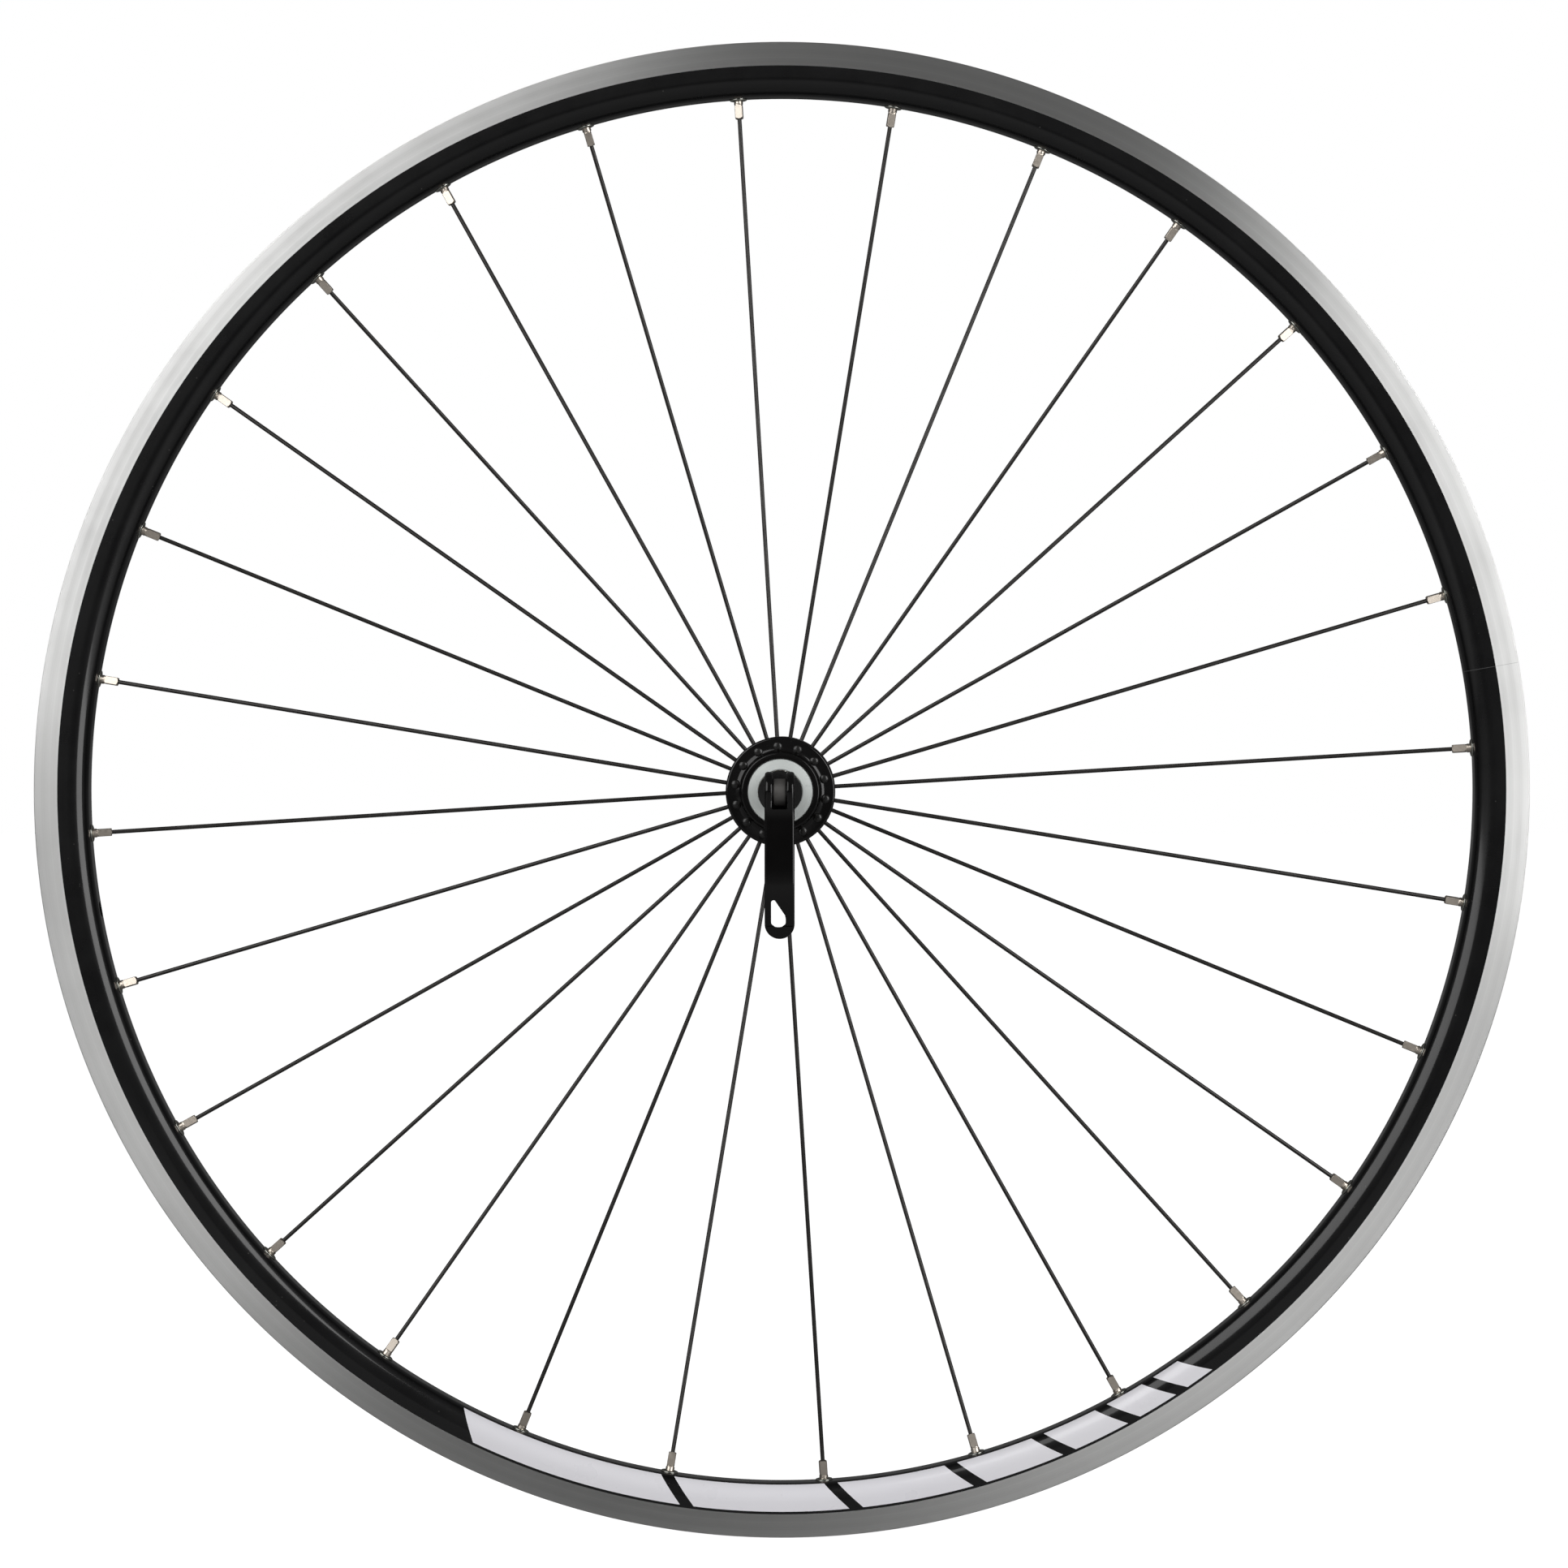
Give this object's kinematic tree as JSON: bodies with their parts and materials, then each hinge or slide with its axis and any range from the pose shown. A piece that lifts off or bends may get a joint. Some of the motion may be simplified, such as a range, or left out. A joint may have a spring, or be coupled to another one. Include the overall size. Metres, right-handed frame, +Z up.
{
  "type": "bicycle front wheel with quick release",
  "caption": "Road bicycle front wheel: black double-wall rim with bare brake tracks, straight radial spokes, a black flanged hub and a quick-release skewer with cam lever.",
  "frame": {"origin": "centre of the wheel: the axle's line where it crosses the rim's middle plane", "axes": "+Y along the axle towards the adjusting nut, the cam lever on the -Y side, +Z up with the closed lever hanging down, +X to the right seen from the lever side"},
  "size_m": [0.6339, 0.1504, 0.634],
  "materials": {
    "rim_alloy": "gloss black paint with bare machined brake tracks",
    "sleeve_alloy": "as extruded",
    "eyelet_steel": "polished",
    "nipple_brass": "nickel-plated brass, satin",
    "spoke_steel": "black oxide",
    "stripe_film": "printed film under lacquer",
    "hub_alloy": "gloss black",
    "bearing_steel": "ground",
    "ball_steel": "polished",
    "cap_steel": "satin plated",
    "axle_steel": "zinc plated thread",
    "nut_steel": "zinc plated",
    "end_cap_steel": "yellow-zinc plated, serrated",
    "cam_plastic": "moulded acetal",
    "spring_steel": "plated wire",
    "rod_steel": "dark forged head, plated rod",
    "lever_alloy": "gloss black forged aluminium",
    "nut_alloy": "gloss black aluminium",
    "insert_nylon": "nylon"
  },
  "bodies": {
    "axle": {"axle": "axle_steel", "cone_left": "bearing_steel", "cone_right": "bearing_steel", "lock_washer_left": "nut_steel", "lock_washer_right": "nut_steel", "locknut_left": "nut_steel", "locknut_right": "nut_steel"},
    "wheel": {"rim": "rim_alloy", "rim_joint_sleeve": "sleeve_alloy", "eyelets": "eyelet_steel", "nipples_left": "nipple_brass", "nipples_right": "nipple_brass", "spokes_left": "spoke_steel", "spokes_right": "spoke_steel", "decal_left": "stripe_film", "decal_right": "stripe_film", "hub_shell": "hub_alloy", "bearing_cup_left": "bearing_steel", "bearing_cup_right": "bearing_steel", "dust_cap_left": "cap_steel", "dust_cap_right": "cap_steel"},
    "balls_left": {"bearing_balls_left": "ball_steel"},
    "balls_right": {"bearing_balls_right": "ball_steel"},
    "cam_seat": {"end_cap": "end_cap_steel", "cam_washer": "cam_plastic", "spring_left": "spring_steel"},
    "skewer": {"skewer_rod": "rod_steel", "pivot_barrel": "nut_steel"},
    "lever": {"cam_lever": "lever_alloy"},
    "nut_thread": {"nut_insert": "insert_nylon", "spring_right": "spring_steel"},
    "nut": {"adjusting_nut": "nut_alloy"}
  },
  "joints": [
    {"name": "wheel_spin", "type": "hinge", "parent": "axle", "child": "wheel", "pos_m": [0, 0, 0], "axis": [0, 1, 0], "continuous": true},
    {"name": "ball_orbit_left", "type": "hinge", "parent": "axle", "child": "balls_left", "pos_m": [0, -0.036, 0], "axis": [0, 1, 0], "continuous": true},
    {"name": "ball_orbit_right", "type": "hinge", "parent": "axle", "child": "balls_right", "pos_m": [0, 0.036, 0], "axis": [0, 1, 0], "continuous": true},
    {"name": "skewer_turn", "type": "hinge", "parent": "axle", "child": "cam_seat", "pos_m": [0, -0.057, 0], "axis": [0, 1, 0], "continuous": true},
    {"name": "skewer_slide", "type": "slide", "parent": "cam_seat", "child": "skewer", "axis": [0, 1, 0], "range_m": [0, 0.0024]},
    {"name": "lever_open", "type": "hinge", "parent": "skewer", "child": "lever", "pos_m": [0, -0.072, 0], "axis": [-1, 0, 0], "range_deg": [0, 180]},
    {"name": "nut_travel", "type": "slide", "parent": "skewer", "child": "nut_thread", "axis": [0, -1, 0], "range_m": [0, 0.003], "deforming": ["spring_right"]},
    {"name": "nut_turn", "type": "hinge", "parent": "nut_thread", "child": "nut", "pos_m": [0, 0.064, 0], "axis": [0, -1, 0], "range_deg": [0, 1350]}
  ],
  "couplings": [
    {"joint": "ball_orbit_left", "follows": "wheel_spin", "ratio": 0.594},
    {"joint": "ball_orbit_right", "follows": "wheel_spin", "ratio": 0.594},
    {"joint": "skewer_slide", "follows": "lever_open", "m_per_rad": 0.00076394},
    {"joint": "nut_travel", "follows": "nut_turn", "m_per_rad": 0.00012732}
  ]
}
